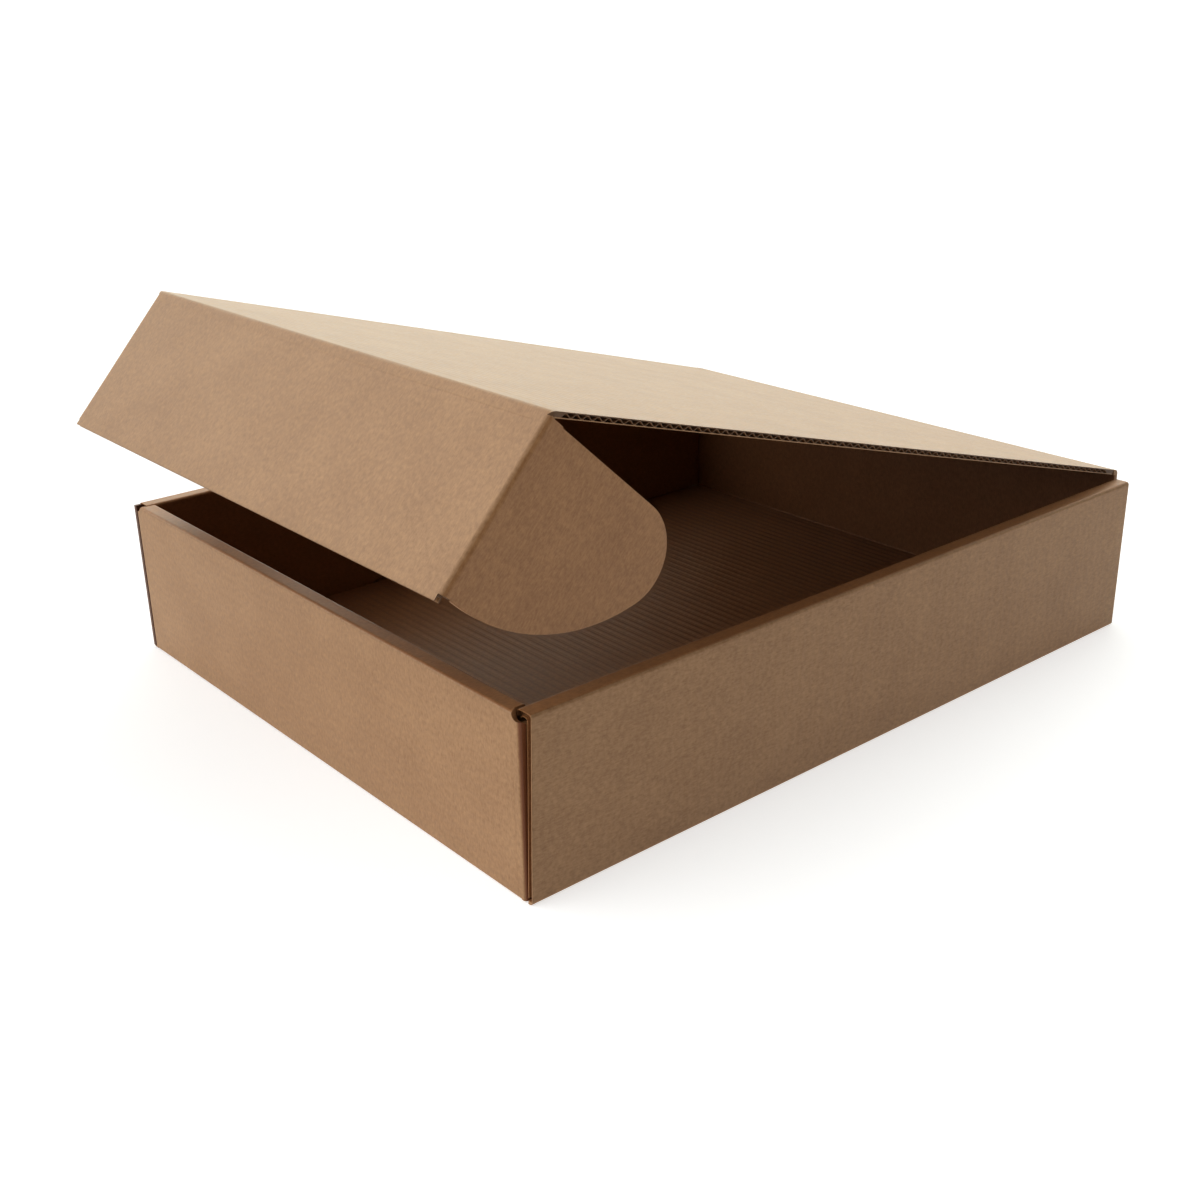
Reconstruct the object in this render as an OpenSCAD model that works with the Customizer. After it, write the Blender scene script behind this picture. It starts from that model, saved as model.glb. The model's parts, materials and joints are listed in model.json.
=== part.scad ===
// Mailer box folded from one sheet of thin corrugated board, standing ajar.
// A tray with rolled side walls and a rolled front wall, a lid hinged on the back wall,
// a flap along the lid's front edge and a round ear at each end of the flap.
// Millimetres, +Z up, front towards -Y. The origin is the middle of the tray's underside.
// The flutes of the sheet run along X, so the lid's side edges show the wave of the board.

/* [Inside of the tray] */
// clear width between the side walls
inside_w = 200; // [180:1:240]
// clear depth between the front wall and the back wall
inside_d = 250; // [220:1:300]
// clear height from the floor to the top of the rims
inside_h = 50; // [46:1:58]

/* [Board] */
// thickness of the corrugated board
board_t = 1.6; // [1.5:0.05:1.7]
// thickness of each flat liner
liner_t = 0.25; // [0.2:0.01:0.28]
// thickness of the wavy paper between the liners
wave_t = 0.2; // [0.16:0.01:0.22]
// distance from one flute to the next
flute_pitch = 3.3; // [3.1:0.1:3.6]
// inside radius of a fold
fold_r = 0.5; // [0.3:0.1:0.6]
// outside radius of a fold, where the crease crushes the board
fold_o = 1; // [0.8:0.1:1.3]
// depth to which a cut edge along the flutes stands open
groove_d = 1.2; // [0.8:0.1:2]
// gap between a crease's round nose and the panel that turns on it
crease_gap = 0.3; // [0.3:0.05:0.5]

/* [Walls] */
// thickness of a rolled side wall, outer face to inner face
side_wall = 5.6; // [5.6:0.1:7]
// thickness of the rolled front wall
front_wall = 5.4; // [5:0.1:7]
// distance of a side wall's ends from the front and back faces
side_inset = 2.4; // [2.2:0.1:4]
// distance of a side wall's front end from the front face at its foot, from where it slants back
side_cut = 0.4; // [0.3:0.1:1.5]
// gap between the ends of the front rim and the side rims
rim_gap = 0.4; // [0.3:0.1:1]
// gap between an inner panel's foot and the floor
foot_gap = 0.6; // [0.6:0.1:1]
// length of the corner flaps tucked inside the side walls
corner_flap = 46; // [30:1:60]
// gap between a corner flap and the outer panel beside it
tuck_gap = 0.5; // [0.3:0.05:0.5]
// gap between a corner flap's edges and the rim above it
corner_drop = 1.4; // [1:0.1:3]
// height of a corner's bent edge above the underside
corner_foot = 0.4; // [0.3:0.1:1]
// radius of the round relief at the top of a front corner, at the front face
relief_r = 1.9; // [1.5:0.1:2.2]
// length by which the relief widens from the front face to the back of the corner
relief_flare = 1.2; // [0.6:0.1:1.4]

/* [Locking tabs] */
// width of a locking tab at the foot of an inner panel
tab_w = 30; // [20:1:40]
// distance of the side walls' tabs from the middle
side_tab_at = 58; // [40:1:70]
// distance of the front wall's tabs from the middle
front_tab_at = 45; // [35:1:60]
// space around a tab in its slot, across the tab
slot_gap = 0.3; // [0.2:0.05:0.5]
// length by which a slot runs past its tab at each end
slot_over = 2.5; // [1:0.5:4]
// height of a tab's foot above the underside
tab_lift = 0.3; // [0.2:0.05:0.6]

/* [Lid] */
// play at each side of the lid between the side walls
lid_play = 0.4; // [0.3:0.1:1.5]
// height of the hinge crease above the rims
hinge_lift = 1; // [0.6:0.1:1.6]
// angle of the lid above the rims
lid_open = 15.5; // [13:0.5:40]
// play between the closed flap and the front wall
flap_play = 0.8; // [0.5:0.1:2]
// distance of the closed flap's foot from the floor
flap_foot = 1.2; // [0.8:0.1:4]
// angle by which the flap is folded down from the lid's plane
flap_fold = 63; // [50:0.5:80]

/* [Ears] */
// radius of an ear's long round edge
ear_arc_r = 55; // [52:1:60]
// distance from the ear's crease to the centre of its long round edge
ear_arc_in = 6; // [4:0.5:8]
// radius of the ear's upper outer corner
ear_corner_r = 14; // [10:1:18]
// gap between the ear's straight edge and the lid's underside when the flap is square
ear_play = 0.5; // [0.4:0.1:1]
// height of the relief notch below the ear's crease
ear_notch = 1.8; // [1:0.1:3]
// angle by which an ear is folded back from the flap's plane
ear_fold = 90; // [80:1:90]

/* [Hidden] */
$fn = 96;

kraft = [0.72, 0.56, 0.40];
kraft_lid = [0.78, 0.63, 0.47];

// a little extra length for cutting bodies
over = 1;
outer_w = inside_w + 2 * side_wall;
outer_d = inside_d + front_wall + board_t;
tray_h = inside_h + board_t;
front_y = -outer_d / 2;
back_y = outer_d / 2;
side_x = outer_w / 2;

// where the front and back panels bend round into the corner flaps
bend_x = side_x - 2 * board_t - tuck_gap;
// depth of a corner that stands clear of the side wall's end
bend_d = side_inset - tuck_gap;
corner_z0 = board_t + foot_gap;
corner_z1 = tray_h - board_t - corner_drop;

lid_w = inside_w - 2 * lid_play;
lid_len = inside_d - board_t - flap_play;
hinge_y = back_y - board_t;
hinge_z = tray_h + hinge_lift;
flap_h = inside_h - flap_foot;
nose_r = board_t + crease_gap;
// length by which a crease's nose runs on past the inner face, up to the turned panel's lip
nose_in = sqrt(pow(nose_r, 2) - pow(board_t, 2)) - crease_gap;
ear_root = flap_h - ear_notch;
ear_x = lid_w / 2 - board_t;

// air spaces between the liners: half widths at the narrow and the wide end, and height
cell_top = 0.25;
cell_foot = 0.35;
cell_base = flute_pitch / 2 - cell_foot;
cell_h = board_t - 2 * liner_t - wave_t;
// length at each crease where the flutes are crushed flat
crush = 1.4;

// rectangle with round corners, from corner to corner
module round_rect(x0, z0, x1, z1, r) {
  translate([x0 + r, z0])
    square([x1 - x0 - 2 * r, z1 - z0]);
  translate([x0, z0 + r])
    square([x1 - x0, z1 - z0 - 2 * r]);
  for (x = [x0 + r, x1 - r])
    for (z = [z0 + r, z1 - r])
      translate([x, z])
        circle(r);
}

// section of a rolled wall, outer face at 0 and inner face at -depth
// skin is 0 for the whole board and liner_t for the open core between its liners
module roll_section(depth, skin) {
  difference() {
    round_rect(skin - depth, skin, -skin, tray_h - skin, fold_o - skin);
    round_rect(board_t - depth - skin, board_t - skin, skin - board_t,
      tray_h - board_t + skin, fold_r + skin);
    translate([-depth - over, board_t])
      square([over + board_t + fold_r, foot_gap]);
  }
}

// section of the lower part of a wall with its fold into the floor, outer face at 0
module low_section(top) {
  intersection() {
    roll_section(2 * front_wall, 0);
    translate([-board_t - fold_r, 0])
      square([board_t + fold_r, top]);
  }
}

// both mirror images of a body across the middle
module both_sides() {
  children();
  mirror([1, 0, 0])
    children();
}

// a section drawn in (x, z) run along Y from y0 to y1
module along_y(y0, y1) {
  translate([0, y1, 0])
    rotate([90, 0, 0])
      linear_extrude(y1 - y0)
        children();
}

// a section drawn in (y, z) run along X, half on each side of the middle
module along_x(half) {
  translate([-half, 0, 0])
    rotate([90, 0, 90])
      linear_extrude(2 * half)
        children();
}

// space in front of a side wall's slanted front end, moved back by a shift
module front_end(shift) {
  slant = (side_inset - side_cut) / tray_h;
  translate([side_x - side_wall - over, front_y + shift, 0])
    rotate([90, 0, 90])
      linear_extrude(side_wall + 2 * over)
        polygon([
          [-2 * over, -over],
          [side_cut - slant * over, -over],
          [side_inset + slant * over, tray_h + over],
          [-2 * over, tray_h + over],
        ]);
}

// open core of a side wall's board from y0 to y1
module open_core(y0, y1) {
  along_y(y0, y1)
    intersection() {
      translate([side_x, 0])
        roll_section(side_wall, liner_t);
      translate([inside_w / 2, fold_o])
        square([side_wall, tray_h]);
    }
}

// one side wall: outer panel, flat rim and inner panel in one roll
module side_roll() {
  cut0 = front_y + side_cut;
  y0 = front_y + side_inset;
  y1 = back_y - side_inset;
  in0 = front_y + front_wall + rim_gap;
  in1 = hinge_y - rim_gap;
  in_x = inside_w / 2 - over;
  in_z = tray_h - board_t - fold_r;
  difference() {
    along_y(cut0, y1)
      translate([side_x, 0])
        roll_section(side_wall, 0);
    front_end(0);
    // room beside the outer panel for the front corner
    translate([inside_w / 2 - over, cut0 - over, -over])
      cube([side_wall - board_t + over, y0 - cut0 + over, tray_h + 2 * over]);
    // the inner panel is shorter than the rim
    for (y = [[cut0 - over, in0], [in1, y1 + over]])
      translate([in_x, y[0], board_t])
        cube([board_t + over + fold_r, y[1] - y[0], in_z - board_t]);
    // open board along the cut ends
    open_core(y1 - groove_d, y1 + over);
    intersection() {
      open_core(cut0 - over, y0 + groove_d + over);
      front_end(groove_d);
    }
  }
}

// bent corner of the front or back panel, from z0 to z1, with its fold rounded
module corner_bend(length, z0, z1) {
  translate([bend_x, 0, z0])
    linear_extrude(z1 - z0) {
      difference() {
        square([board_t, length]);
        translate([board_t - fold_o, 0])
          square(fold_o);
      }
      intersection() {
        translate([board_t - fold_o, fold_o])
          circle(fold_o);
        translate([board_t - fold_o, 0])
          square(fold_o);
      }
    }
}

// corner flaps that the front or back panel tucks inside the side walls
module corner_flaps() {
  both_sides()
    corner_bend(corner_flap, corner_z0, corner_z1);
}

// front wall: outer panel from bend to bend, and the roll between the side rims
module front_roll() {
  translate([0, front_y, 0]) {
    along_x(inside_w / 2 - rim_gap)
      mirror([1, 0])
        roll_section(front_wall, 0);
    corner_flaps();
    difference() {
      union() {
        along_x(bend_x)
          mirror([1, 0])
            intersection() {
              roll_section(front_wall, 0);
              translate([-bend_d, 0])
                square([bend_d, tray_h]);
            }
        both_sides()
          corner_bend(bend_d, corner_foot, tray_h);
      }
      // round reliefs at the tops of the corners
      both_sides()
        translate([bend_x + board_t / 2, 0, tray_h])
          rotate([-90, 0, 0])
            cylinder(r1 = relief_r, r2 = relief_r + relief_flare, h = bend_d + over);
    }
  }
}

// round nose of a crease towards -X, centred on the crease's inner line
module nose_section() {
  intersection() {
    circle(board_t);
    translate([-board_t, -nose_in])
      square([board_t, board_t + nose_in]);
  }
}

// back wall: one panel, its middle carried up to the round nose of the hinge crease
module back_wall() {
  translate([0, back_y, 0]) {
    along_x(bend_x)
      low_section(corner_z1);
    along_x(lid_w / 2) {
      translate([-board_t, fold_o])
        square([board_t, hinge_z - fold_o]);
      translate([-board_t, hinge_z])
        rotate(-90)
          nose_section();
    }
    mirror([0, 1, 0]) {
      corner_flaps();
      both_sides()
        corner_bend(bend_d, corner_foot, corner_z1);
    }
  }
}

// floor panel between the folds
module floor_panel() {
  translate([fold_o - side_x, front_y + side_inset, 0])
    cube([outer_w - 2 * fold_o, outer_d - 2 * side_inset, board_t]);
  translate([-bend_x, front_y + fold_o, 0])
    cube([2 * bend_x, outer_d - 2 * fold_o, board_t]);
}

// places of the locking tabs: children are drawn from -Y to +Y along a side wall's inner face
module at_tabs() {
  both_sides()
    for (y = [-side_tab_at, side_tab_at])
      translate([inside_w / 2, y, 0])
        children();
  for (x = [-front_tab_at, front_tab_at])
    translate([x, front_y + front_wall, 0])
      rotate([0, 0, -90])
        children();
}

module tray() {
  color(kraft) {
    difference() {
      union() {
        floor_panel();
        both_sides()
          side_roll();
        front_roll();
        back_wall();
      }
      at_tabs()
        translate([-slot_gap, -tab_w / 2 - slot_over, -over])
          cube([board_t + 2 * slot_gap, tab_w + 2 * slot_over, over + board_t + foot_gap / 2]);
    }
    at_tabs()
      translate([0, -tab_w / 2, tab_lift])
        cube([board_t, tab_w, board_t + foot_gap]);
  }
}

// air spaces of the corrugated board along a length, one above and one below each wave
module flute_cells(length) {
  count = floor(length / flute_pitch);
  for (k = [0 : count - 1])
    translate([(k + 0.5) * flute_pitch, 0]) {
      translate([0, liner_t])
        polygon([[-cell_base, 0], [cell_base, 0], [cell_top, cell_h], [-cell_top, cell_h]]);
      if (k < count - 1)
        translate([flute_pitch / 2, board_t - liner_t])
          polygon([[-cell_base, 0], [-cell_top, -cell_h], [cell_top, -cell_h], [cell_base, 0]]);
    }
}

// lid lying flat: hinge crease on the X axis, front edge towards -Y
module lid_flat() {
  along_x(lid_w / 2)
    translate([-lid_len, 0]) {
      difference() {
        square([lid_len, board_t]);
        translate([lid_len, 0])
          circle(nose_r);
        translate([crush, 0])
          flute_cells(lid_len - 2 * crush - board_t);
      }
      nose_section();
    }
}

// lid with the front corners of its sheet rounded
module lid_sheet() {
  difference() {
    lid_flat();
    both_sides()
      translate([lid_w / 2 - board_t, -lid_len, -board_t])
        linear_extrude(3 * board_t)
          difference() {
            translate([0, -board_t - over])
              square(board_t + over);
            circle(board_t);
          }
  }
}

// flap lying flat: its crease on the X axis, foot towards -Y
module flap_flat() {
  difference() {
    translate([-ear_x, -flap_h, 0])
      cube([2 * ear_x, flap_h, board_t]);
    along_x(lid_w)
      circle(nose_r);
    // open board along the foot
    translate([-ear_x - over, -flap_h - over, liner_t])
      cube([2 * ear_x + 2 * over, groove_d + over, board_t - 2 * liner_t]);
  }
  // round noses of the ear creases
  both_sides()
    along_y(-ear_root, -nose_r)
      translate([ear_x, 0])
        mirror([1, 0])
          nose_section();
}

// outline of an ear, crease on the Y axis, straight edge towards +Y
module ear_outline() {
  arc_y = sqrt(pow(ear_arc_r, 2) - pow(ear_arc_in, 2)) - ear_root;
  corner_y = -ear_play - ear_corner_r;
  span = ear_arc_r - ear_corner_r;
  corner_x = ear_arc_in + sqrt(pow(span, 2) - pow(arc_y - corner_y, 2));
  // direction from the long arc's centre through the corner's centre
  out = [corner_x - ear_arc_in, corner_y - arc_y] / span;
  wedge = [
    [corner_x, corner_y],
    [corner_x, -ear_play],
    [corner_x, -ear_play + over],
    [corner_x + 2 * ear_corner_r, -ear_play + over],
    [corner_x + 2 * ear_corner_r * out[0], corner_y + 2 * ear_corner_r * out[1]],
  ];
  difference() {
    intersection() {
      translate([ear_arc_in, arc_y])
        circle(ear_arc_r);
      translate([0, -flap_h])
        square([ear_arc_in + ear_arc_r, flap_h - ear_play]);
    }
    polygon(wedge);
    // relief beside the nose of the lid's crease
    translate([-over, -nose_r])
      square([over + nose_r, nose_r]);
  }
  intersection() {
    translate([corner_x, corner_y])
      circle(ear_corner_r);
    polygon(wedge);
  }
}

// ear lying flat beside the flap, crease on the Y axis
module ear_flat() {
  difference() {
    linear_extrude(board_t)
      ear_outline();
    translate([0, over, 0])
      rotate([90, 0, 0])
        linear_extrude(flap_h + 2 * over)
          circle(nose_r);
    // flutes open at the round end
    translate([nose_r + crush, 0, 0])
      rotate([90, 0, 90])
        linear_extrude(ear_arc_in + ear_arc_r)
          translate([-ear_root + crush, 0])
            flute_cells(ear_root - 2 * crush);
  }
}

// places on the turned lid and on the turned flap
module on_lid() {
  translate([0, hinge_y, hinge_z])
    rotate([-lid_open, 0, 0])
      children();
}

module on_flap() {
  on_lid()
    translate([0, -lid_len, 0])
      rotate([flap_fold, 0, 0])
        children();
}

module lid() {
  color(kraft_lid)
    on_lid()
      lid_sheet();
}

module flap() {
  color(kraft)
    on_flap()
      flap_flat();
}

module ear_right() {
  color(kraft)
    on_flap()
      translate([ear_x, 0, 0])
        rotate([0, ear_fold, 0])
          ear_flat();
}

module ear_left() {
  mirror([1, 0, 0])
    ear_right();
}

tray();
lid();
flap();
ear_left();
ear_right();
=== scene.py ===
"""Looks of the mailer box: paper liners, bent creases, kraft finishes and studio light.

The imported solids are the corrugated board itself. This script dresses them and adds what shows on
them: liners with the washboard that the flutes leave, the liner bent round each crease, and the
upright cut end of the left wall. Lengths in the classes are millimetres in the part's own frame,
and meshes are made in metres.
"""

import json
import logging
import math
from collections.abc import Callable
from dataclasses import dataclass
from enum import Enum
from functools import partial
from typing import Any

import bpy
import numpy as np
from mathutils import Matrix


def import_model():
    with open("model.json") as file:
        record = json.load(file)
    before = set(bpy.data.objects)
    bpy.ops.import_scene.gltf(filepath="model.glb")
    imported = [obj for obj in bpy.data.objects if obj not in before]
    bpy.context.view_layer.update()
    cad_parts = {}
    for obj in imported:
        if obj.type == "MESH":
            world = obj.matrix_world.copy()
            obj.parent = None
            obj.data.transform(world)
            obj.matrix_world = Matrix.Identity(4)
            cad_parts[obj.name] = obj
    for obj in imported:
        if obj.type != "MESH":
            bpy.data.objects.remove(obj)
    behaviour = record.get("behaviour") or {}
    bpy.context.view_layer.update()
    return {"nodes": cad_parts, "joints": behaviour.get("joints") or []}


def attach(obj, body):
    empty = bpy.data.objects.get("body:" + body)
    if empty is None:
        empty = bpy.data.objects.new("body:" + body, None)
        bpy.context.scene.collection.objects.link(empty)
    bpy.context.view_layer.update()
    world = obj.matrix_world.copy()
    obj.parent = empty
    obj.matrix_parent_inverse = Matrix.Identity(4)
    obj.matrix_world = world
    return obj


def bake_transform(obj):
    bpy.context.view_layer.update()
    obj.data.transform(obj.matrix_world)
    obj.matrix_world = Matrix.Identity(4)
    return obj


MM = 0.001
LOG = logging.getLogger("mailer_box")
Pair = tuple[float, float]
Triple = tuple[float, float, float]
Adder = Callable[..., bpy.types.Node]
Socket = bpy.types.NodeSocket
Material = bpy.types.Material
Piece = bpy.types.Object

# settings that several nodes share
COLOURS = {"data_type": "RGBA"}
SMOOTH = {"interpolation_type": "SMOOTHSTEP"}
INVERSE = {"vector_type": "TEXTURE"}
DOT = {"operation": "DOT_PRODUCT"}
UNSIGNED = {"operation": "ABSOLUTE"}
BELOW = {"operation": "LESS_THAN"}
ABOVE = {"operation": "GREATER_THAN"}
TIMES = {"operation": "MULTIPLY"}


class Body(Enum):
    """Bodies of the frame that pieces ride on."""

    TRAY = "tray"
    LID = "lid"
    FLAP = "flap"
    EAR_LEFT = "ear_left"
    EAR_RIGHT = "ear_right"


class Paper(Enum):
    """Papers of the box: one for each way that a panel lies, a darker and warmer copy with painted
    shade for the ears, one for the folds and one for a cut end, whose open flutes have painted
    shade.
    """

    TRAY = "kraft_liner_tray"
    LID = "kraft_liner_lid"
    FLAP = "kraft_liner_flap"
    EAR = "kraft_liner_ear"
    FOLD = "kraft_liner_fold"
    CUT = "corrugated_board_die_cut"


Papers = dict[Paper, Material]


class Side(Enum):
    """Side of the box, as the sign of its X."""

    LEFT = -1
    RIGHT = 1


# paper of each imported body
WRAPS = {
    Body.TRAY: Paper.TRAY,
    Body.LID: Paper.LID,
    Body.FLAP: Paper.FLAP,
    Body.EAR_LEFT: Paper.EAR,
    Body.EAR_RIGHT: Paper.EAR,
}


def linear(code: str) -> tuple[float, float, float, float]:
    """Turns an sRGB hex colour into linear light.

    Args:
        code: Six hex digits.

    Returns:
        Red, green, blue and an alpha of 1.
    """
    parts = np.array([int(code[i : i + 2], 16) for i in (0, 2, 4)]) / 255
    light = np.where(parts <= 0.04045, parts / 12.92, ((parts + 0.055) / 1.055) ** 2.4)
    return (*(float(x) for x in light), 1.0)


def add_node(
    tree: bpy.types.NodeTree,
    kind: str,
    settings: dict[str, Any] | None = None,
    inputs: dict[Any, Any] | None = None,
) -> bpy.types.Node:
    """Adds one node with its settings and links.

    Args:
        tree: Node tree to add to.
        kind: Blender's name of the node class.
        settings: Values of the node's own properties.
        inputs: Constant, or output socket to link, for each input by name or number.

    Returns:
        The new node.
    """
    node = tree.nodes.new(kind)
    for key, value in (settings or {}).items():
        setattr(node, key, value)
    for key, value in (inputs or {}).items():
        if isinstance(value, Socket):
            tree.links.new(value, node.inputs[key])
        else:
            node.inputs[key].default_value = value
    return node


def within(add: Adder, place: Socket, middle: Triple, half: Triple) -> Socket:
    """Where a place lies within an upright box.

    Args:
        add: Adds a node to the tree.
        place: Place in the object's own frame, in metres.
        middle: Middle of the box in millimetres.
        half: Half sizes of the box in millimetres.

    Returns:
        1 within the box and 0 outside it.
    """
    middle, half = (tuple(value * MM for value in part) for part in (middle, half))
    share = add("ShaderNodeMapping", INVERSE, {0: place, "Location": middle, "Scale": half})
    far = add("ShaderNodeVectorMath", UNSIGNED, {0: share.outputs[0]})
    parts = add("ShaderNodeSeparateXYZ", {}, {0: far.outputs[0]})
    x, y, z = parts.outputs
    level = add("ShaderNodeMath", {"operation": "MAXIMUM"}, {0: x, 1: y})
    most = add("ShaderNodeMath", {"operation": "MAXIMUM"}, {0: level.outputs[0], 1: z})
    inside = add("ShaderNodeMath", BELOW, {0: most.outputs[0], 1: 1.0})
    return inside.outputs[0]


def quad_object(name: str, points: np.ndarray, quads: np.ndarray) -> Piece:
    """Makes an object at the origin from points and quads.

    Args:
        name: Name of the piece.
        points: (n, 3) array in millimetres.
        quads: (m, 4) array of point numbers, anticlockwise from outside.

    Returns:
        The new object, linked to the scene, smooth shaded.
    """
    mesh = bpy.data.meshes.new(name)
    count = len(quads)
    mesh.vertices.add(len(points))
    mesh.vertices.foreach_set("co", (points * MM).astype(np.float32).ravel())
    mesh.loops.add(4 * count)
    mesh.loops.foreach_set("vertex_index", quads.astype(np.int32).ravel())
    mesh.polygons.add(count)
    mesh.polygons.foreach_set("loop_start", np.arange(0, 4 * count, 4, dtype=np.int32))
    mesh.polygons.foreach_set("use_smooth", np.ones(count, dtype=bool))
    mesh.update(calc_edges=True)
    mesh.validate()
    piece = bpy.data.objects.new(name, mesh)
    bpy.context.scene.collection.objects.link(piece)
    return piece


def closed_sheet(name: str, top: np.ndarray, bottom: np.ndarray, finish: Material) -> Piece:
    """Makes a thin closed sheet between two grids of the same size.

    The top grid's quads face out, the bottom grid's are the same ones turned over, and a band of
    quads joins the two rings of border points.

    Args:
        name: Name of the piece.
        top: (rows, columns, 3) array in millimetres.
        bottom: Grid of the same shape below it.
        finish: Look of the sheet.

    Returns:
        The new object.
    """
    rows, columns = top.shape[:2]
    index = np.arange(rows * columns).reshape(rows, columns)
    around = [index[:-1, :-1], index[1:, :-1], index[1:, 1:], index[:-1, 1:]]
    cells = np.stack(around, -1).reshape(-1, 4)
    ring = np.concatenate([index[:-1, 0], index[-1, :-1], index[:0:-1, -1], index[0, :0:-1]])
    after = np.roll(ring, -1)
    below = rows * columns
    band = np.stack([after, ring, ring + below, after + below], -1)
    quads = np.concatenate([cells, cells[:, ::-1] + below, band])
    edge = top[1, 0] - top[0, 0], top[0, 1] - top[0, 0]
    if np.dot(np.cross(*edge), top[0, 0] - bottom[0, 0]) < 0:
        quads = quads[:, ::-1]
    points = np.concatenate([top.reshape(-1, 3), bottom.reshape(-1, 3)])
    piece = quad_object(name, points, quads)
    piece.data.materials.append(finish)
    pairs = np.empty(2 * len(piece.data.edges), dtype=np.int32)
    piece.data.edges.foreach_get("vertices", pairs)
    border = np.zeros(below, dtype=bool)
    border[ring] = True
    pairs = pairs.reshape(-1, 2)
    crisp = border[pairs % below].all(1) & (pairs[:, 0] // below == pairs[:, 1] // below)
    piece.data.attributes.new("sharp_edge", "BOOLEAN", "EDGE").data.foreach_set("value", crisp)
    return piece


@dataclass(frozen=True)
class Board:
    """Thin corrugated board: thickness, flute pitch and the crushed strip beside a crease."""

    thick: float = 1.6
    pitch: float = 3.3
    crush: float = 1.4


@dataclass(frozen=True)
class PanelFrame:
    """Flat panel: a point on it, and the directions across its flutes, along them and out."""

    at: np.ndarray
    run: np.ndarray
    along: np.ndarray
    out: np.ndarray

    def grid(self, run: np.ndarray, along: np.ndarray, out: np.ndarray) -> np.ndarray:
        """Places arrays of distances on the panel.

        Args:
            run: Distances across the flutes.
            along: Distances along the flutes.
            out: Heights above the face.

        Returns:
            Points, one more axis than the arrays.
        """
        parts = np.broadcast_arrays(run, along, out)
        ways = (self.run, self.along, self.out)
        return self.at + sum(part[..., None] * way for part, way in zip(parts, ways))


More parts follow.
